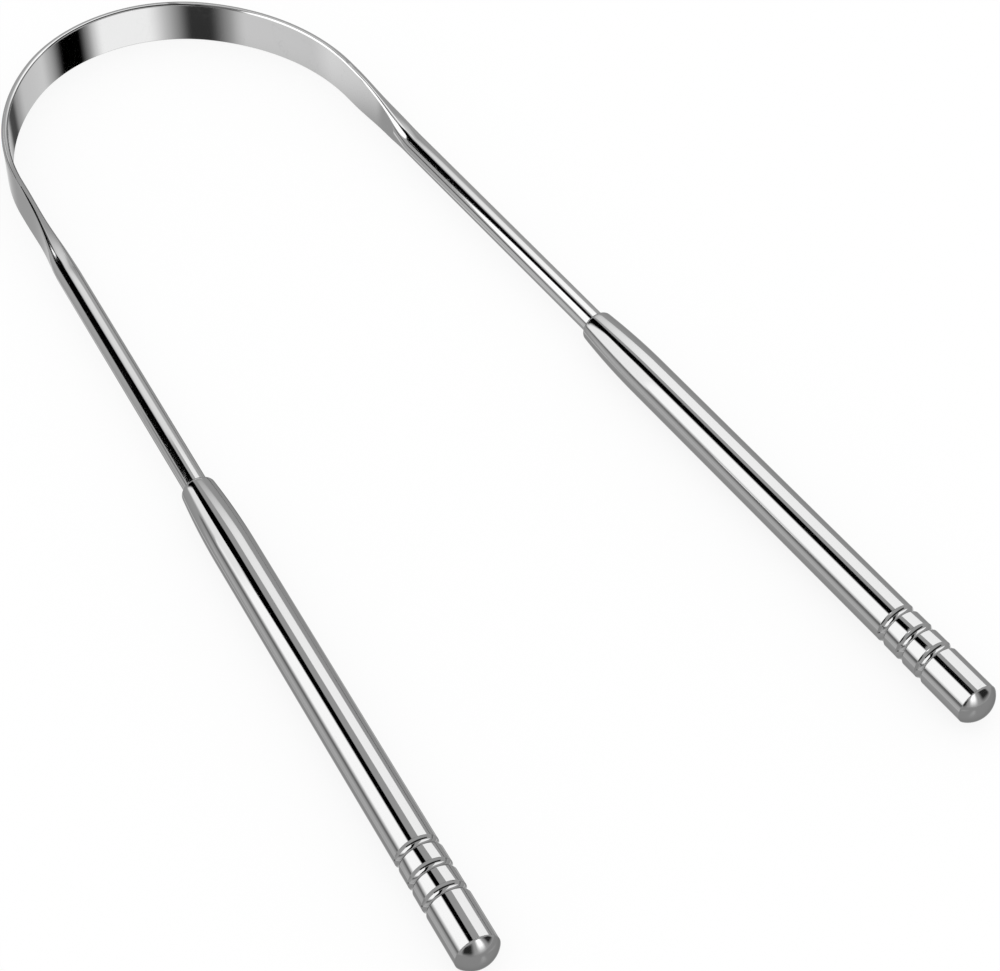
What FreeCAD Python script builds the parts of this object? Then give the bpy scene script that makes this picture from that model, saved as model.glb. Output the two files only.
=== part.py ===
import FreeCAD, Part
import Sketcher
import math
import os
import re

# Tongue scraper: one bent wire, pressed flat into a band across the arch, with a tubular handle on each leg.
# The bow lies flat: +Y runs from the handles to the arch, +Z is up, and the origin is under the middle of it all.

doc = FreeCAD.newDocument("tongue_scraper")
sheet = doc.addObject("Spreadsheet::Sheet", "sizes")

# Driving sizes in millimetres and degrees
driving = {
    "wire_diameter": 2.9,
    "band_thickness": 0.85,
    "band_width": 5.8,
    "band_corner": 0.2,
    "apex_radius": 19.8,
    "apex_half_angle": 39,
    "shoulder_radius": 28.5,
    "splay": 3.2,
    "band_run": 1.7,
    "press_length": 14.7,
    "wire_showing": 39.2,
    "handle_length": 68.6,
    "tube_wall": 0.85,
    "grip_clearance": 0.02,
    "mouth_land": 0.08,
    "lip_radius": 0.5,
    "neck_length": 3,
    "taper_length": 10.5,
    "groove_depth": 0.18,
    "groove_width": 1.1,
    "groove_floor": 0.6,
    "groove_pitch": 3.05,
    "end_land": 6.6,
    "tail_past_groove": 1.2,
    "spigot_length": 3.5,
    "spigot_clearance": 0.02,
    "spigot_chamfer": 0.4,
    "dome_height": 1.4,
}

# Places worked out from them: radii of the fits, the shape of the arch, and where the legs and handles lie
derived = {
    "wire_radius": "wire_diameter / 2",
    "neck_radius": "wire_radius + grip_clearance",
    "bore_radius": "neck_radius + groove_depth",
    "tube_radius": "bore_radius + tube_wall",
    "groove_half": "groove_width / 2",
    "floor_half": "groove_floor / 2",
    "face_radius": "neck_radius + mouth_land",
    "taper_rise": "tube_radius - face_radius",
    "taper_run": "taper_length - lip_radius",
    "taper_bend": "(taper_rise ^ 2 + taper_run ^ 2 - lip_radius ^ 2) / (2 * (taper_rise - lip_radius))",
    "lip_end_radius": "face_radius + lip_radius * (taper_bend - taper_rise) / (taper_bend - lip_radius)",
    "lip_end_depth": "lip_radius - lip_radius * taper_run / (taper_bend - lip_radius)",
    "spigot_radius": "bore_radius - spigot_clearance",
    "dome_radius": "(tube_radius ^ 2 + dome_height ^ 2) / (2 * dome_height)",
    "leg_length": "band_run + press_length + wire_showing",
    "arc_step": "apex_radius - shoulder_radius",
    "head_half": "arc_step * sin(apex_half_angle) + shoulder_radius * cos(splay)",
    "head_rise": "apex_radius - arc_step * cos(apex_half_angle) - shoulder_radius * sin(splay)",
    "leg_reach": "(leg_length + handle_length + dome_height - dome_radius) * cos(splay) + dome_radius",
    "shoulder_y": "(leg_reach - head_rise - band_thickness / 2) / 2",
    "apex_y": "shoulder_y + head_rise",
    "mouth_x": "head_half + leg_length * sin(splay)",
    "mouth_y": "shoulder_y - leg_length * cos(splay)",
    "axis_height": "max(band_width / 2; tube_radius)",
}
groove_count = 3
press_steps = 5
side_seam = 8
crown_seam = 2

for row, (name, value) in enumerate(driving.items(), start=1):
    sheet.set(f"A{row}", name)
    sheet.set(f"B{row}", str(value))
    sheet.setAlias(f"B{row}", name)
for row, (name, formula) in enumerate(derived.items(), start=len(driving) + 1):
    sheet.set(f"A{row}", name)
    sheet.set(f"B{row}", f"={formula}")
    sheet.setAlias(f"B{row}", name)
named = {name: f"sizes.{name}" for name in (*driving, *derived)}
doc.recompute()


def sized(formula):
    """The same formula with each sheet value called by its full name, as other objects need it."""
    return re.sub("[a-z_]+", lambda word: named.get(word[0], word[0]), formula)


def measure(formula):
    """The present value of a formula of sheet values."""
    value = sheet.evalExpression(formula)
    return float(getattr(value, "Value", value))


def bind(thing, path, formula):
    thing.setExpression(path, sized(formula))


def new_body(label):
    body = doc.addObject("PartDesign::Body", label)
    body.Label = label
    return body


def new_sketch(body, name, role):
    plane = next(f for f in body.Origin.OriginFeatures if f.Role == role)
    sketch = body.newObject("Sketcher::SketchObject", name)
    sketch.AttachmentSupport = [(plane, "")]
    sketch.MapMode = "FlatFace"
    return sketch


def across_leg(body, name, distance):
    """A sketch square to the right leg, at a distance down it from the end of the arch."""
    sketch = new_sketch(body, name, "XZ_Plane")
    sketch.AttachmentOffset = FreeCAD.Placement(
        FreeCAD.Vector(), FreeCAD.Rotation(FreeCAD.Vector(0, 1, 0), measure("splay"))
    )
    bind(sketch, "AttachmentOffset.Base.x", f"head_half + ({distance}) * sin(splay)")
    bind(sketch, "AttachmentOffset.Base.z", f"({distance}) * cos(splay) - shoulder_y")
    bind(sketch, "AttachmentOffset.Rotation.Angle", "splay")
    return sketch


def draw(sketch, corners, closed=True):
    """Joins corners (x, y, bend) in turn: a bend is the radius of the arc to the next corner, with its centre
    on the left, or on the right where it starts with a minus. No bend is a straight line."""
    spots = [FreeCAD.Vector(measure(x), measure(y), 0) for x, y, bend in corners]
    count = len(corners) if closed else len(corners) - 1
    ends = []
    for i in range(count):
        start = spots[i]
        stop = spots[(i + 1) % len(spots)]
        bend = corners[i][2]
        if not bend:
            edge = sketch.addGeometry(Part.LineSegment(start, stop))
            ends.append((edge, 1, 2))
            continue
        radius = measure(bend.lstrip("-"))
        left = not bend.startswith("-")
        chord = stop - start
        square = FreeCAD.Vector(-chord.y, chord.x, 0).normalize()
        rise = math.sqrt(max(radius**2 - chord.Length**2 / 4, 0))
        centre = (start + stop) * 0.5 + square * (rise if left else -rise)
        first, last = (start, stop) if left else (stop, start)
        angles = [math.atan2(p.y - centre.y, p.x - centre.x) for p in (first, last)]
        circle = Part.Circle(centre, FreeCAD.Vector(0, 0, 1), radius)
        edge = sketch.addGeometry(Part.ArcOfCircle(circle, *angles))
        ends.append((edge, 1, 2) if left else (edge, 2, 1))
        at = sketch.addConstraint(Sketcher.Constraint("Radius", edge, radius))
        bind(sketch, f"Constraints[{at}]", bend.lstrip("-"))
    for i, (x, y, bend) in enumerate(corners):
        edge, tail, head = ends[i] if i < count else (ends[-1][0], ends[-1][2], None)
        for kind, formula in (("DistanceX", x), ("DistanceY", y)):
            at = sketch.addConstraint(Sketcher.Constraint(kind, -1, 1, edge, tail, measure(formula)))
            bind(sketch, f"Constraints[{at}]", formula)
        if 0 < i < count or (closed and i == 0):
            before = ends[i - 1]
            sketch.addConstraint(Sketcher.Constraint("Coincident", before[0], before[2], edge, tail))


def eight_corners(side, crown, bends):
    """Corners of a section that is alike in all four quarters, counterclockwise from the lower right."""
    (x1, y1), (x2, y2) = side, crown
    flat, turn, top = bends
    return [
        (x1, f"-({y1})", flat),
        (x1, y1, turn),
        (x2, y2, top),
        (f"-({x2})", y2, turn),
        (f"-({x1})", y1, flat),
        (f"-({x1})", f"-({y1})", turn),
        (f"-({x2})", f"-({y2})", top),
        (x2, f"-({y2})", turn),
    ]


def between(flat, full, share):
    return f"({flat} + ({full} - {flat}) * {share:.4f})"


def pressed_section(step):
    """The wire's section where the press has flattened it: a bar whose corners are broken on the band and rounder
    down the press. Its thickness and corners recover late and its width early, and it ends as the round wire."""
    along = step / press_steps
    late = 5 * along**4 - 4 * along**5
    early = 3 * along**2 - 2 * along**3
    if step == press_steps:
        side = (f"wire_radius * cos({side_seam})", f"wire_radius * sin({side_seam})")
        crown = (f"wire_radius * sin({crown_seam})", f"wire_radius * cos({crown_seam})")
        return eight_corners(side, crown, ("wire_radius", "wire_radius", "wire_radius"))
    half = between("band_thickness / 2", "wire_radius", late)
    tall = between("band_width / 2", "wire_radius", early)
    corner = between("band_corner", "wire_radius", late)
    bends = ("", corner if step else "", "")
    return eight_corners((half, f"{tall} - {corner}"), (f"{half} - {corner}", tall), bends)


def make_bow():
    """The wire: half of it is drawn, from the middle of the arch to the tail inside the handle, then mirrored."""
    body = new_body("scraper_bow")
    bind(body, "Placement.Base.z", "axis_height")

    path = new_sketch(body, "arch_path", "XY_Plane")
    draw(
        path,
        [
            ("head_half + band_run * sin(splay)", "shoulder_y - band_run * cos(splay)", ""),
            ("head_half", "shoulder_y", "shoulder_radius"),
            (
                "apex_radius * sin(apex_half_angle)",
                "apex_y - apex_radius * (1 - cos(apex_half_angle))",
                "apex_radius",
            ),
            ("0", "apex_y", ""),
        ],
        closed=False,
    )
    sections = []
    for step in range(press_steps + 1):
        distance = f"band_run + press_length * {step / press_steps:.4f}"
        section = across_leg(body, f"press_section_{step}", distance)
        draw(section, pressed_section(step))
        sections.append(section)

    arch = body.newObject("PartDesign::AdditivePipe", "arch_band")
    arch.Profile = (sections[0], [""])
    arch.Spine = (path, [])
    doc.recompute()

    press = body.newObject("PartDesign::AdditiveLoft", "pressed_wire")
    press.Profile = (sections[0], [""])
    press.Sections = [(section, [""]) for section in sections[1:]]
    doc.recompute()

    leg = body.newObject("PartDesign::Pad", "round_leg")
    leg.Profile = (sections[-1], [""])
    bind(leg, "Length", "wire_showing + handle_length - end_land + tail_past_groove")
    doc.recompute()

    both = body.newObject("PartDesign::Mirrored", "both_halves")
    both.MirrorPlane = (next(f for f in body.Origin.OriginFeatures if f.Role == "YZ_Plane"), [""])
    both.TransformMode = "Whole shape"
    body.Tip = both
    return body


def on_leg(body, hand):
    """Sets a piece that is drawn down its own -Y axis on the end of the left or right leg's showing wire."""
    body.Placement.Rotation = FreeCAD.Rotation(FreeCAD.Vector(0, 0, 1), hand * measure("splay"))
    bind(body, "Placement.Rotation.Angle", f"{hand} * splay")
    bind(body, "Placement.Base.x", f"{hand} * mouth_x")
    bind(body, "Placement.Base.y", "mouth_y")
    bind(body, "Placement.Base.z", "axis_height")


def spin(body, sketch, name):
    turned = body.newObject("PartDesign::Revolution", name)
    turned.Profile = (sketch, [""])
    turned.ReferenceAxis = (sketch, ["V_Axis"])
    turned.Angle = 360
    body.Tip = turned


def rolled_groove(surface, number):
    """Corners of one groove on a surface of the tube: a wall down to the floor, and a wall up again."""
    middle = f"handle_length - end_land - {groove_count - 1 - number} * groove_pitch"
    return [
        (surface, f"-({middle} - groove_half)", ""),
        (f"{surface} - groove_depth", f"-({middle} - floor_half)", ""),
        (f"{surface} - groove_depth", f"-({middle} + floor_half)", ""),
        (surface, f"-({middle} + groove_half)", ""),
    ]


def make_tube(label, hand):
    """A drawn tube: mouth swaged down on the wire, long taper, and grooves rolled in until they grip the tail."""
    body = new_body(label)
    on_leg(body, hand)
    outside = []
    inside = []
    for number in range(groove_count):
        outside += rolled_groove("tube_radius", number)
        inside += rolled_groove("bore_radius", number)
    profile = new_sketch(body, f"{label}_profile", "XY_Plane")
    draw(
        profile,
        [
            ("neck_radius", "0", ""),
            ("face_radius", "0", "-lip_radius"),
            ("lip_end_radius", "-lip_end_depth", "-taper_bend"),
            ("tube_radius", "-taper_length", ""),
            *outside,
            ("tube_radius", "-handle_length", ""),
            ("bore_radius", "-handle_length", ""),
            *inside[::-1],
            ("bore_radius", "-taper_length", ""),
            ("neck_radius", "-neck_length", ""),
        ],
    )
    spin(body, profile, f"{label}_turn")
    return body


def make_plug(label, hand):
    """A turned plug: a dome as wide as the tube, seated on its end, and a spigot pressed into the bore."""
    body = new_body(label)
    on_leg(body, hand)
    profile = new_sketch(body, f"{label}_profile", "XY_Plane")
    spigot_top = "handle_length - spigot_length"
    draw(
        profile,
        [
            ("0", f"-({spigot_top})", ""),
            ("0", "-(handle_length + dome_height)", "dome_radius"),
            ("tube_radius", "-handle_length", ""),
            ("spigot_radius", "-handle_length", ""),
            ("spigot_radius", f"-({spigot_top} + spigot_chamfer)", ""),
            ("spigot_radius - spigot_chamfer", f"-({spigot_top})", ""),
        ],
    )
    spin(body, profile, f"{label}_turn")
    return body


pieces = [make_bow()]
for side, hand in (("left", -1), ("right", 1)):
    pieces.append(make_tube(f"{side}_handle_tube", hand))
    pieces.append(make_plug(f"{side}_end_plug", hand))
doc.recompute()

# Nothing is written unless every object and every piece is sound
for thing in doc.Objects:
    if {"Invalid", "Error"} & set(thing.State):
        raise RuntimeError(f"{thing.Label} failed: {thing.State}")
for piece in pieces:
    if piece.Shape.isNull() or not piece.Shape.isValid() or len(piece.Shape.Solids) != 1:
        raise RuntimeError(f"{piece.Label} is not one sound solid")

os.makedirs("parts", exist_ok=True)
for piece in pieces:
    box = piece.Shape.BoundBox
    print(f"{piece.Label}: {piece.Shape.Volume:.1f} mm3, {len(piece.Shape.Faces)} faces,"
          f" {box.XLength:.2f} x {box.YLength:.2f} x {box.ZLength:.2f} mm")
    piece.Shape.exportStep(f"parts/{piece.Label}.step")
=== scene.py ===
import math

import bpy
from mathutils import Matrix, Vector


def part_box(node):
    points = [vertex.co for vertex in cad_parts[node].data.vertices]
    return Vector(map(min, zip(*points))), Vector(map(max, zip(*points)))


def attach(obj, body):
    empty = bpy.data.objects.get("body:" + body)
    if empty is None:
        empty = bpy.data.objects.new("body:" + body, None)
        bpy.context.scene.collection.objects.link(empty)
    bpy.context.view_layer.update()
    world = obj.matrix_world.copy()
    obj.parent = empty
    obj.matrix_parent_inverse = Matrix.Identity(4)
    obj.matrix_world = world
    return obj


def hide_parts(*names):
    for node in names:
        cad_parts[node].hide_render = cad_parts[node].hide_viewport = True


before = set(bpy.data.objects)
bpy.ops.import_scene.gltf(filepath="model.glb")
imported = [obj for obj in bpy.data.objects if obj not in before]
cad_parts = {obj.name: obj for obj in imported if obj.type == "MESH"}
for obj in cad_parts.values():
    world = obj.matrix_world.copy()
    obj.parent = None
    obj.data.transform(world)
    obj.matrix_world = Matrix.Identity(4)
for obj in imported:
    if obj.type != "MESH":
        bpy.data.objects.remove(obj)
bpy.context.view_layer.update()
scene = bpy.context.scene
mm = 0.001
print("frame loaded:", ", ".join(sorted(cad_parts)))


def toLinear(hexColour):
    channels = [int(hexColour[i:i + 2], 16) / 255 for i in (1, 3, 5)]
    return [c / 12.92 if c <= 0.04045 else ((c + 0.055) / 1.055) ** 2.4 for c in channels] + [1.0]


# inputs are sockets to link or plain values to set, by socket name or number
def addNode(tree, kind, inputs, **settings):
    node = tree.nodes.new("ShaderNode" + kind)
    for name, value in settings.items():
        setattr(node, name, value)
    for key, value in inputs.items():
        if isinstance(value, bpy.types.NodeSocket):
            tree.links.new(value, node.inputs[key])
        else:
            node.inputs[key].default_value = value
    return node


def newMaterial(name):
    material = bpy.data.materials.new(name)
    material.use_nodes = True
    material.node_tree.nodes.clear()
    return material, material.node_tree


# A mirror finish shows every facet, so each piece is drawn finely over its CAD node, at the same sizes
# and with the small rounds that the solids leave out.
def placePiece(name, node, slot, points, faces, grain, material):
    mesh = bpy.data.meshes.new(name)
    mesh.from_pydata([Vector(point) * mm for point in points], [], faces)
    mesh.attributes.new("acrossGrain", "FLOAT", "POINT").data.foreach_set("value", grain)
    mesh.materials.append(material)
    mesh.shade_smooth()
    piece = bpy.data.objects.new(name, mesh)
    scene.collection.objects.link(piece)
    flatter = piece.modifiers.new("flat faces stay flat", "WEIGHTED_NORMAL")
    flatter.weight = 100  # the largest faces set the normals
    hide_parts(node)
    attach(piece, "root")


def runLengths(path):
    lengths = [0.0]
    for before, after in zip(path, path[1:]):
        lengths.append(lengths[-1] + (after - before).length)
    return lengths


# rings of points, one after the other, joined into a closed skin
def skin(rings, loop=False):
    around = len(rings[0])
    points = [point for ring in rings for point in ring]
    faces = []
    for i in range(len(rings) if loop else len(rings) - 1):
        here, there = i * around, (i + 1) % len(rings) * around
        for j in range(around):
            k = (j + 1) % around
            faces.append((here + j, here + k, there + k, there + j))
    if not loop:
        faces.append(tuple(reversed(range(around))))
        faces.append(tuple(range(len(points) - around, len(points))))
    return points, faces


def buffedSteel(name, look):
    material, tree = newMaterial(name)
    place = addNode(tree, "TexCoord", {}).outputs["Object"]
    inMillimetres = addNode(tree, "Mapping", {"Vector": place, "Scale": (1 / mm, 1 / mm, 1 / mm)}).outputs[0]

    # each piece's mesh says how far a point lies across the lines, so that they follow its bends
    across = addNode(tree, "Attribute", {}, attribute_name="acrossGrain").outputs["Fac"]
    fine = addNode(tree, "Math", {0: across, 1: 1 / look["lineWidth"]}, operation="MULTIPLY").outputs[0]
    fine = addNode(tree, "CombineXYZ", {0: fine}).outputs[0]
    slow = 1 / look["lineLength"]
    grain = addNode(tree, "VectorMath", {0: inMillimetres, 1: (slow, slow, slow), 2: fine},
                    operation="MULTIPLY_ADD").outputs[0]
    lines = addNode(tree, "TexNoise", {"Vector": grain, "Scale": 1.0, "Detail": 3.0}).outputs["Fac"]

    patches = addNode(tree, "TexNoise", {
        "Vector": inMillimetres, "Scale": 1 / look["bloomSize"], "Detail": 4.0}).outputs["Fac"]
    # a scratch runs where a slow noise passes its middle level
    wander = addNode(tree, "TexNoise", {
        "Vector": inMillimetres, "Scale": 1 / look["scratchSpacing"], "Detail": 2.0,
        "Distortion": 0.4}).outputs["Fac"]
    offLine = addNode(tree, "Math", {0: wander, 1: 0.5}, operation="SUBTRACT").outputs[0]
    fromLine = addNode(tree, "Math", {0: offLine}, operation="ABSOLUTE").outputs[0]
    scratches = addNode(tree, "MapRange", {
        "Value": fromLine, "From Min": 0.0, "From Max": look["scratchShare"],
        "To Min": 1.0, "To Max": 0.0}).outputs[0]

    bloomStart, bloomFull = look["bloomLevels"]
    patchy = addNode(tree, "MapRange", {
        "Value": patches, "From Min": bloomStart, "From Max": bloomFull,
        "To Min": look["roughness"], "To Max": look["roughness"] + look["bloom"]}).outputs[0]
    streaky = addNode(tree, "Math", {0: lines, 1: look["streaks"], 2: patchy},
                      operation="MULTIPLY_ADD").outputs[0]
    roughness = addNode(tree, "Math", {0: scratches, 1: look["scratchDull"], 2: streaky},
                        operation="MULTIPLY_ADD").outputs[0]

    lineBump = addNode(tree, "Bump", {"Height": lines, "Distance": look["lineDepth"] * mm}).outputs[0]
    scratchBump = addNode(tree, "Bump", {
        "Height": scratches, "Distance": look["scratchDepth"] * mm, "Normal": lineBump},
        invert=True).outputs[0]

    steel = addNode(tree, "BsdfPrincipled", {
        "Base Color": toLinear(look["colour"]), "Specular Tint": toLinear(look["edgeTint"]), "Metallic": 1.0,
        "Roughness": roughness, "Normal": scratchBump})
    addNode(tree, "OutputMaterial", {"Surface": steel.outputs[0]})
    return material


# Buffed stainless wire. Drawn, bent and pressed, then buffed along its length: the eye gets a grey
# mirror with hair-fine lines that follow the bend, a few stray scratches and a faint uneven bloom.
wireLook = {
    "colour": "#9e9e9e",
    "edgeTint": "#c8c8c8",  # steel stays grey at a glancing angle
    "roughness": 0.035,
    "bloom": 0.025,  # how much duller the buffing leaves some patches
    "bloomSize": 9.0,  # mm
    "bloomLevels": (0.35, 0.7),  # noise levels where the bloom starts and is full
    "lineWidth": 0.12,  # mm, the real buffing lines are near 0.01 and would not show
    "lineLength": 14.0,  # mm
    "lineDepth": 0.0002,  # mm
    "streaks": 0.03,  # how much duller the lines are than the mirror between them
    "scratchSpacing": 5.0,  # mm
    "scratchDepth": 0.0002,  # mm
    "scratchShare": 0.006,  # how far from the noise's middle level a scratch ends
    "scratchDull": 0.06,  # how much duller a scratch is
}

# The bow: one wire, pressed to a band round the arch
bow = {  # mm and degrees
    "wire": 2.9, "bandThickness": 0.85, "bandWidth": 5.8, "bandCorner": 0.2,
    "cornerFlat": 0.85,  # how flat the band's corners are, from a round at 0 to a flat at 1
    "leastFace": 0.001,  # half of what is left of a face between two full corners
    "apexRadius": 19.8, "apexHalfAngle": 39.0, "shoulderRadius": 28.5, "splay": 3.2,
    "bandRun": 1.7, "pressLength": 14.7, "wireShowing": 39.2, "tail": 63.2,
    "wireStops": (10.0, 25.0),  # sections of the plain wire, from the end of the press
    "apexSteps": 40, "shoulderSteps": 48, "pressSteps": 72, "cornerSteps": 12,
}


# a level direction, turned from +Y towards +X
def levelWay(angle):
    return Vector((math.sin(angle), math.cos(angle), 0))


splay = math.radians(bow["splay"])
turnAngle = math.radians(bow["apexHalfAngle"])
height = bow["bandWidth"] / 2
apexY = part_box("scraper_bow")[1][1] / mm - bow["bandThickness"] / 2
apexCentre = Vector((0, apexY - bow["apexRadius"], height))
shoulderCentre = apexCentre + levelWay(turnAngle) * (bow["apexRadius"] - bow["shoulderRadius"])
legOut = Vector((math.cos(splay), math.sin(splay), 0))
legTop = shoulderCentre + legOut * bow["shoulderRadius"]
legWay = Vector((math.sin(splay), -math.cos(splay), 0))
mouth = legTop + legWay * (bow["bandRun"] + bow["pressLength"] + bow["wireShowing"])


# half thickness, half height, corner size and how flat the corner is, by the share of the press passed
def pressedWire(share):
    late = 5 * share ** 4 - 4 * share ** 5  # the band thickens near the round end
    last = 9 * share ** 8 - 8 * share ** 9  # the corners stay crisp until the wire is nearly round
    early = 3 * share ** 2 - 2 * share ** 3  # its height falls evenly
    radius = bow["wire"] / 2
    thick = bow["bandThickness"] / 2 + (radius - bow["bandThickness"] / 2) * late
    tall = bow["bandWidth"] / 2 + (radius - bow["bandWidth"] / 2) * early
    corner = bow["bandCorner"] + (radius - bow["bandCorner"]) * last
    corner = min(corner, thick - bow["leastFace"], tall - bow["leastFace"])
    return thick, tall, corner, bow["cornerFlat"] * (1 - last)


quarterEnds = [Vector(end) for end in ((1, 0), (0, 1), (-1, 0), (0, -1), (1, 0))]  # of the corner arcs


# the band's corners are broken to narrow flats, which swell into the round of the wire
def wireRing(centre, outward, share):
    thick, tall, corner, flat = pressedWire(share)
    ring = []
    for quarter, (sideX, sideZ) in enumerate(((1, 1), (-1, 1), (-1, -1), (1, -1))):
        for step in range(bow["cornerSteps"] + 1):
            passed = step / bow["cornerSteps"]
            angle = math.radians(90 * (quarter + passed))
            onArc = Vector((math.cos(angle), math.sin(angle)))
            spot = onArc.lerp(quarterEnds[quarter].lerp(quarterEnds[quarter + 1], passed), flat) * corner
            x = sideX * (thick - corner) + spot.x
            z = sideZ * (tall - corner) + spot.y
            ring.append(centre + outward * x + Vector((0, 0, z)))
    return ring


stations = []  # centre, outward direction, share of the press passed, from the apex down the right leg
for step in range(bow["apexSteps"]):
    outward = levelWay(turnAngle * step / bow["apexSteps"])
    stations.append((apexCentre + outward * bow["apexRadius"], outward, 0.0))
for step in range(bow["shoulderSteps"]):
    outward = levelWay(turnAngle + (math.pi / 2 - splay - turnAngle) * step / bow["shoulderSteps"])
    stations.append((shoulderCentre + outward * bow["shoulderRadius"], outward, 0.0))
stations.append((legTop, legOut, 0.0))
for step in range(bow["pressSteps"] + 1):
    share = step / bow["pressSteps"]
    stations.append((legTop + legWay * (bow["bandRun"] + bow["pressLength"] * share), legOut, share))
for past in (*bow["wireStops"], bow["wireShowing"], bow["wireShowing"] + bow["tail"]):
    stations.append((legTop + legWay * (bow["bandRun"] + bow["pressLength"] + past), legOut, 1.0))
# the left leg mirrors the right one, and the section at the apex is used once
mirrored = [(Vector((-c.x, c.y, c.z)), Vector((-o.x, o.y, 0)), s) for c, o, s in stations[:0:-1]]
bowRings = [wireRing(*station) for station in mirrored + stations]
wireSteel = buffedSteel("buffed_stainless_wire", wireLook)
bowGrain = []
for ring in bowRings:
    girth = runLengths(ring + ring[:1])
    bowGrain += [min(length, girth[-1] - length) for length in girth[:-1]]  # mirrored, so no seam shows
placePiece("bent_wire", "scraper_bow", "polished_wire", *skin(bowRings), bowGrain, wireSteel)
print("bow drawn with", len(bowRings), "sections")


# The handles: drawn tube, swaged at the mouth and grooved near the end
tube = {  # mm
    "length": 68.6, "radius": 2.5, "bore": 1.65, "neck": 1.47, "neckLength": 3.0, "faceRadius": 1.55,
    "lip": 0.5, "taper": 10.5, "grooves": (55.9, 58.95, 62.0), "grooveWidth": 1.1,
    "grooveDepth": 0.18, "grooveEdge": 0.07, "endEdge": 0.04,
    "lipSteps": 12, "taperSteps": 24, "grooveSteps": 16, "segments": 96,
}
# Drawn stainless tube, polished on a wheel: a darker, clearer mirror than the wire, with longer,
# fainter lines.
tubeLook = dict(wireLook, colour="#909090", roughness=0.03, lineLength=24.0, lineWidth=0.16, streaks=0.02)


# a chain of corners (radius, distance down the handle, rounding) with each corner rounded by a small arc
def roundedProfile(corners, steps=5):
    spots = []
    for i, (r, d, bend) in enumerate(corners):
        spot = Vector((r, d))
        if not bend:
            spots.append(spot)
            continue
        before = (Vector(corners[i - 1][:2]) - spot).normalized()
        after = (Vector(corners[(i + 1) % len(corners)][:2]) - spot).normalized()
        halfAngle = math.acos(max(-1.0, min(1.0, before.dot(after)))) / 2
        middle = spot + (before + after).normalized() * bend / math.sin(halfAngle)
        first = spot + before * bend / math.tan(halfAngle) - middle
        last = spot + after * bend / math.tan(halfAngle) - middle
        sweep = first.angle_signed(last)
        for step in range(steps + 1):
            turned = -sweep * step / steps
            spots.append(middle + Vector((
                first.x * math.cos(turned) - first.y * math.sin(turned),
                first.x * math.sin(turned) + first.y * math.cos(turned))))
    return spots


# a profile spun round the leg's line, on the left at -1 or the right at 1
def spunRings(profile, hand):
    way = Vector((hand * legWay.x, legWay.y, 0))
    side = Vector((-way.y, way.x, 0))
    start = Vector((hand * mouth.x, mouth.y, mouth.z))
    rings = []
    for segment in range(tube["segments"]):
        angle = 2 * math.pi * segment / tube["segments"]
        out = side * math.cos(angle) + Vector((0, 0, math.sin(angle)))
        rings.append([start + way * spot.y + out * spot.x for spot in profile])
    return rings


def tubeProfile():
    rise, run, lip = tube["radius"] - tube["faceRadius"], tube["taper"] - tube["lip"], tube["lip"]
    bend = (rise ** 2 + run ** 2 - lip ** 2) / (2 * (rise - lip))
    lipAngle = math.atan2(bend - rise, run)  # where the lip's arc meets the taper's
    corners = [(tube["neck"], 0.0, 0)]
    for step in range(tube["lipSteps"] + 1):
        angle = lipAngle * step / tube["lipSteps"]
        corners.append((tube["faceRadius"] + lip * math.sin(angle), lip - lip * math.cos(angle), 0))
    lipEnd = corners[-1][1]
    for step in range(1, tube["taperSteps"] + 1):
        down = lipEnd + (tube["taper"] - lipEnd) * step / tube["taperSteps"]
        outer = tube["radius"] - bend + math.sqrt(bend ** 2 - (tube["taper"] - down) ** 2)
        corners.append((outer, down, 0))
    half, deep = tube["grooveWidth"] / 2, tube["grooveDepth"]
    roller = (half ** 2 + deep ** 2) / (2 * deep)  # radius of the roller's edge
    for middle in tube["grooves"]:
        corners.append((tube["radius"], middle - half, tube["grooveEdge"]))
        for step in range(1, tube["grooveSteps"]):
            along = half * (2 * step / tube["grooveSteps"] - 1)
            outer = tube["radius"] - deep + roller - math.sqrt(roller ** 2 - along ** 2)
            corners.append((outer, middle + along, 0))
        corners.append((tube["radius"], middle + half, tube["grooveEdge"]))
    corners += [(tube["radius"], tube["length"], tube["endEdge"]), (tube["bore"], tube["length"], 0),
                (tube["bore"], tube["taper"], 0), (tube["neck"], tube["neckLength"], 0)]
    return roundedProfile(corners)


tubeSteel = buffedSteel("polished_drawn_tube", tubeLook)
sleeve = tubeProfile()
sleeveGrain = []
for segment in range(tube["segments"]):
    turned = min(segment, tube["segments"] - segment) / tube["segments"]  # mirrored, so no seam shows
    sleeveGrain += [2 * math.pi * tube["radius"] * turned] * len(sleeve)
for side, hand in (("left", -1), ("right", 1)):
    body = skin(spunRings(sleeve, hand), loop=True)
    placePiece(side + "_handle_sleeve", side + "_handle_tube", "polished_tube", *body, sleeveGrain, tubeSteel)
print("handles turned")

# The end plugs, turned from bar, each with a shallow dome
plug = {  # mm and degrees
    "dome": 1.39, "shoulder": 1.0, "rimBreak": 24.0, "spigot": 1.63, "spigotLength": 3.5, "spigotEdge": 0.3,
    "pinhole": 0.0005,  # keeps the points on the axis apart
    "shoulderSteps": 16, "crownSteps": 24,
}
# Turned stainless, buffed after the lathe: softer reflections, and rings round the dome from the tool.
plugLook = dict(tubeLook, roughness=0.06, lineLength=6.0, lineWidth=0.14, lineDepth=0.0004, streaks=0.05)


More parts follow.
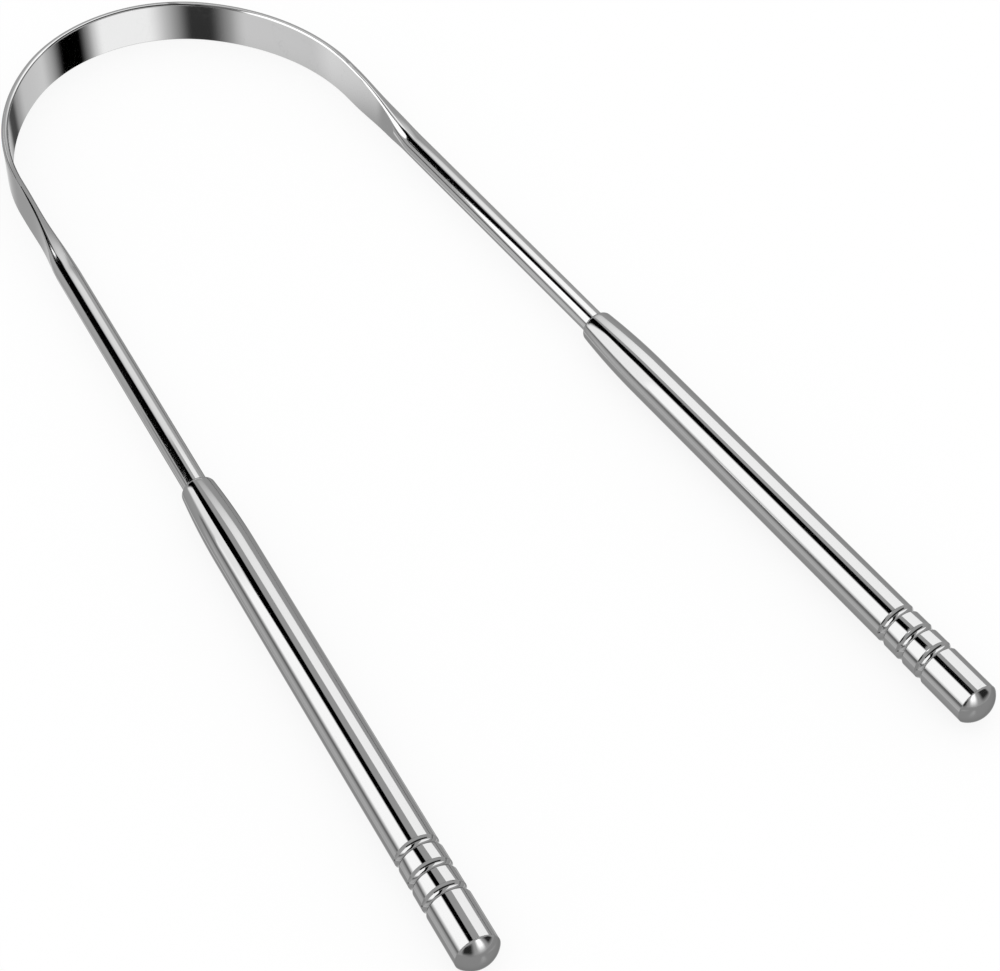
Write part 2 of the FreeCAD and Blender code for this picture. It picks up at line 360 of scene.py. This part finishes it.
# the dome's shoulder turns in from the rim on a small arc and runs into a shallow crown
def plugProfile():
    rimBreak, shoulder = math.radians(plug["rimBreak"]), plug["shoulder"]
    reach = tube["radius"] - shoulder * math.cos(rimBreak)
    rise = plug["dome"] + shoulder * math.sin(rimBreak)
    crown = (reach ** 2 + rise ** 2 - shoulder ** 2) / (2 * (rise - shoulder))
    meet = math.atan2(crown - rise, reach)
    foot, rim = tube["length"] - plug["spigotLength"], tube["length"]
    corners = [(plug["pinhole"], foot, 0), (plug["spigot"], foot, plug["spigotEdge"]),
               (plug["spigot"], rim, 0)]
    for step in range(plug["shoulderSteps"] + 1):
        angle = rimBreak + (meet - rimBreak) * step / plug["shoulderSteps"]
        depth = shoulder * (math.sin(angle) - math.sin(rimBreak))
        corners.append((reach + shoulder * math.cos(angle), rim + depth, 0))
    for step in range(1, plug["crownSteps"] + 1):
        angle = meet + (math.pi / 2 - meet) * step / plug["crownSteps"]
        depth = plug["dome"] - crown + crown * math.sin(angle)
        corners.append((max(crown * math.cos(angle), plug["pinhole"]), rim + depth, 0))
    return roundedProfile(corners)


plugSteel = buffedSteel("turned_stainless_plug", plugLook)
dome = plugProfile()
domeGrain = runLengths(dome) * tube["segments"]
for side, hand in (("left", -1), ("right", 1)):
    body = skin(spunRings(dome, hand), loop=True)
    placePiece(side + "_end_dome", side + "_end_plug", "polished_plug", *body, domeGrain, plugSteel)
print("plugs turned")

# The studio: a white dome, a pale floor, and cards that only the polished steel sees.
studio = {
    "floor": "#ffffff",
    "floorSize": 6.0,  # m
    "shadow": 0.15,  # how much of the shadow the white floor keeps
    "world": "#ffffff",
    "cardSteps": 24,
}
cards = {  # corners in mm, light as a multiple of white, soft edges as shares at u0, u1, v0, v1
    "left_softbox": {
        "corners": [(-300, 0, -35), (-300, 240, 40), (-300, 505, 655), (-300, 0, 1165)],
        "light": 3.3, "soft": (0.02, 0.04, 0.11, 0.35)},
    "overhead_softbox": {
        "corners": [(92, 8, 200), (300, 40, 50), (300, 455, 300), (-8, 282, 200)],
        "light": 3.0, "soft": (0.02, 0.03, 0.02, 0.7)},
    "left_wire_softbox": {
        "corners": [(-28.3, 9, 15), (-12.8, 9, 15), (-8.2, 52, 15), (-26.9, 52, 15)],
        "light": 2.0, "soft": (0.3, 0.15, 0.1, 0.1)},
    "left_taper_softbox": {
        "corners": [(-30.2, -24, 4.8), (-30.2, -2.2, 4.8), (-30.2, 0.3, 9), (-30.2, -21, 9)],
        "light": 2.7, "soft": (0.3, 0.04, 0.25, 0.1)},
    "right_taper_softbox": {
        "corners": [(15, -14, 4), (15, 4, 4), (15, 10, 24), (15, -8, 24)],
        "light": 2.9, "soft": (0.1, 0.15, 0.1, 0.15), "oneSided": True},  # its back is left open
    "left_corner_flag": {
        "corners": [(10, 65, 9), (10, 78, 7), (10, 78, 14), (10, 65, 19)],
        "light": 0.4, "soft": (0.1, 0.1, 0.1, 0.1)},
    "left_press_flag": {
        "corners": [(-24, 39.5, 12), (-12, 39.5, 12), (-12, 62, 12), (-24, 62, 12)],
        "light": 0.85, "soft": (0.05, 0.1, 0.3, 0.1)},
    "right_press_flag": {
        "corners": [(25, 37, 12), (40, 37, 12), (40, 62, 12), (25, 62, 12)],
        "light": 0.85, "soft": (0.05, 0.1, 0.3, 0.1)},
    "black_flag": {
        "corners": [(-1250, 1200, 380), (-215, 1200, 380), (-40, 1200, 2900), (-1250, 1200, 2900)],
        "light": 0.0, "soft": (0.05, 0.05, 0.05, 0.02)},
    "low_flag": {
        "corners": [(-302, 0, -100), (-302, 300, -28), (-302, 300, 57), (-302, 0, -15)],
        "light": 0.45, "soft": (0.02, 0.05, 0.5, 0.25)},
    "side_reflector": {
        "corners": [(-304, 0, -300), (-304, 310, -300), (-304, 310, -45), (-304, 0, -90)],
        "light": 1.35, "soft": (0.05, 0.15, 0.5, 0.25)},
    "corner_softbox": {
        "corners": [(-20, 78, 20), (-20, 104, 20), (-20, 104, 46), (-20, 78, 46)],
        "light": 3.3, "soft": (0.15, 0.15, 0.15, 0.15)},
    "overhead_flag": {
        "corners": [(-250, -85, 200), (350, -85, 200), (350, 3, 200), (-250, 3, 200)],
        "light": 0.05, "soft": (0.05, 0.05, 0.2, 0.05)},
    "front_softbox": {
        "corners": [(-45, -190, -15), (45, -190, -15), (45, -190, 200), (-45, -190, 200)],
        "light": 4.2, "soft": (0.4, 0.4, 0.45, 0.2)},
    "front_left_flag": {
        "corners": [(-235, -190, -25), (-48, -190, -25), (-48, -190, 150), (-235, -190, 150)],
        "light": 0.06, "soft": (0.35, 0.25, 0.3, 0.35)},
    "front_right_flag": {
        "corners": [(50, -190, -5), (290, -190, -5), (290, -190, 190), (50, -190, 190)],
        "light": 0.06, "soft": (0.2, 0.35, 0.3, 0.35)},
    "left_dome_streak": {
        "corners": [(-34, -84, -22), (-16, -84, -22), (-2, -165, -22), (-26, -165, -22)],
        "light": 1.1, "soft": (0.5, 0.5, 0.4, 0.45)},
    "right_dome_streak": {
        "corners": [(16, -84, -22), (34, -84, -22), (26, -165, -22), (2, -165, -22)],
        "light": 1.1, "soft": (0.5, 0.5, 0.4, 0.45)},
    "front_grey": {
        "corners": [(-260, -66, -25), (320, -66, -25), (320, -700, -25), (-260, -700, -25)],
        "light": 0.8, "soft": (0.05, 0.05, 0.01, 0.05)},
}

# A ring of cards below the floor's level, which the inner face of the band reflects
lowRing = {
    "centre": (2, 50), "level": -200, "outer": 310,  # mm
    "apart": 4,  # mm from card to card in height, so that no two share a plane
    "softOuter": 0.05,  # soft share at the outer edge
    "arcs": {  # degrees from +Y towards +X, inner radius, light, soft shares at start, end and inner edge
        "low_side_flag": (30, 54, 222, 0.2, 0.35, 0.35, 0.05),
        "low_right_softbox": (52, 104, 222, 1.75, 0.25, 0.3, 0.05),
        "low_black_flag": (100, 146, 222, 0.0, 0.33, 0.3, 0.05),
        "low_front_softbox": (140, 214, 222, 2.45, 0.2, 0.33, 0.05),
        "low_dim_flag": (208, 256, 222, 0.08, 0.4, 0.35, 0.05),
        "low_far_softbox": (300, 340, 254, 2.05, 0.5, 0.12, 0.5),
        "low_left_softbox": (250, 340, 252, 1.62, 0.12, 0.06, 0.5),
    },
}


def ringPlace(angle, radius, level):
    return Vector((*lowRing["centre"], level)) + levelWay(math.radians(angle)) * radius


# a card is a strip of near and far points, faded out at its edges
def softCard(name, near, far, light, softEdges, oneSided=False):
    mesh = bpy.data.meshes.new(name)
    last = len(near) - 1
    faces = [(i, i + 1, len(near) + i + 1, len(near) + i) for i in range(last)]
    mesh.from_pydata([point * mm for point in near + far], [], faces)
    spread = mesh.uv_layers.new()
    for i in range(last):
        for loop, spot in enumerate(((i, 0), (i + 1, 0), (i + 1, 1), (i, 1))):
            spread.data[4 * i + loop].uv = (spot[0] / last, spot[1])
    material, tree = newMaterial(name)
    sides = addNode(tree, "SeparateXYZ", {0: addNode(tree, "TexCoord", {}).outputs["UV"]}).outputs
    cover = 1.0
    for (axis, edge), soft in zip(((0, 0), (0, 1), (1, 0), (1, 1)), softEdges):  # u0, u1, v0, v1
        fade = addNode(tree, "MapRange", {
            "Value": sides[axis], "From Min": edge, "From Max": abs(edge - soft)},
            interpolation_type="SMOOTHSTEP").outputs[0]
        cover = addNode(tree, "Math", {0: fade, 1: cover}, operation="MULTIPLY").outputs[0]
    if oneSided:
        behind = addNode(tree, "NewGeometry", {}).outputs["Backfacing"]
        ahead = addNode(tree, "Math", {0: 1.0, 1: behind}, operation="SUBTRACT").outputs[0]
        cover = addNode(tree, "Math", {0: cover, 1: ahead}, operation="MULTIPLY").outputs[0]
    glow = addNode(tree, "Emission", {"Strength": light})
    clear = addNode(tree, "BsdfTransparent", {})
    shown = addNode(tree, "MixShader", {0: cover, 1: clear.outputs[0], 2: glow.outputs[0]})
    addNode(tree, "OutputMaterial", {"Surface": shown.outputs[0]})
    mesh.materials.append(material)
    piece = bpy.data.objects.new(name, mesh)
    scene.collection.objects.link(piece)
    piece.visible_camera = False
    piece.visible_diffuse = False
    piece.visible_shadow = False


shares = [step / studio["cardSteps"] for step in range(studio["cardSteps"] + 1)]  # along a card
for name, card in cards.items():
    first, second, third, fourth = [Vector(corner) for corner in card["corners"]]
    near = [first.lerp(second, share) for share in shares]
    far = [fourth.lerp(third, share) for share in shares]
    softCard(name, near, far, card["light"], card["soft"], card.get("oneSided", False))
for i, (name, arc) in enumerate(lowRing["arcs"].items()):
    begin, finish, inner, light, softBegin, softFinish, softInner = arc
    level = lowRing["level"] - lowRing["apart"] * i
    angles = [begin + (finish - begin) * share for share in shares]
    near = [ringPlace(angle, inner, level) for angle in angles]
    far = [ringPlace(angle, lowRing["outer"], level) for angle in angles]
    softCard(name, near, far, light, (softBegin, softFinish, softInner, lowRing["softOuter"]))

half = studio["floorSize"] / 2
floorMesh = bpy.data.meshes.new("floor")
floorCorners = [(-half, -half, 0), (half, -half, 0), (half, half, 0), (-half, half, 0)]
floorMesh.from_pydata(floorCorners, [], [(0, 1, 2, 3)])
floorMaterial, tree = newMaterial("pale_paper")
rays = addNode(tree, "LightPath", {}).outputs
seen = rays["Is Camera Ray"]
for kind in ("Is Glossy Ray", "Is Transmission Ray"):
    seen = addNode(tree, "Math", {0: seen, 1: rays[kind]}, operation="MAXIMUM").outputs[0]
plain = addNode(tree, "Math", {0: seen, 1: 1 - studio["shadow"]}, operation="MULTIPLY").outputs[0]
paper = addNode(tree, "BsdfDiffuse", {"Color": toLinear(studio["floor"])})
white = addNode(tree, "Emission", {"Color": toLinear(studio["floor"]), "Strength": 1.0})
sheet = addNode(tree, "MixShader", {0: plain, 1: paper.outputs[0], 2: white.outputs[0]})
addNode(tree, "OutputMaterial", {"Surface": sheet.outputs[0]})
floorMesh.materials.append(floorMaterial)
floor = bpy.data.objects.new("floor", floorMesh)
floor.visible_glossy = False  # the steel sees the white dome and the low cards in its place
scene.collection.objects.link(floor)

world = bpy.data.worlds.new("white_dome")
world.use_nodes = True
world.node_tree.nodes.clear()
sky = addNode(world.node_tree, "Background", {"Color": toLinear(studio["world"]), "Strength": 1.0})
addNode(world.node_tree, "OutputWorld", {"Surface": sky.outputs[0]})
scene.world = world
scene.view_settings.view_transform = "Standard"
print("studio set with", len(cards) + len(lowRing["arcs"]), "cards")

camera = {
    "aim": (3.16, -22.15, 2.9),  # mm
    "distance": 301.9,  # mm
    "azimuth": -30.53,  # degrees, 0 looks along +Y
    "elevation": 46.76,
    "lens": 97.58,  # mm
    "frameWidth": 36.0,  # mm
    "nearest": 0.01,  # m
}
turn = math.radians(camera["azimuth"])
rise = math.radians(camera["elevation"])
back = Vector((math.sin(turn) * math.cos(rise), -math.cos(turn) * math.cos(rise), math.sin(rise)))
cameraData = bpy.data.cameras.new("camera")
cameraData.lens = camera["lens"]
cameraData.sensor_width = camera["frameWidth"]
cameraData.clip_start = camera["nearest"]
eye = bpy.data.objects.new("camera", cameraData)
eye.location = (Vector(camera["aim"]) + back * camera["distance"]) * mm
eye.rotation_euler = back.to_track_quat("Z", "Y").to_euler()
scene.collection.objects.link(eye)
scene.camera = eye
print("camera at", [round(value, 4) for value in eye.location])
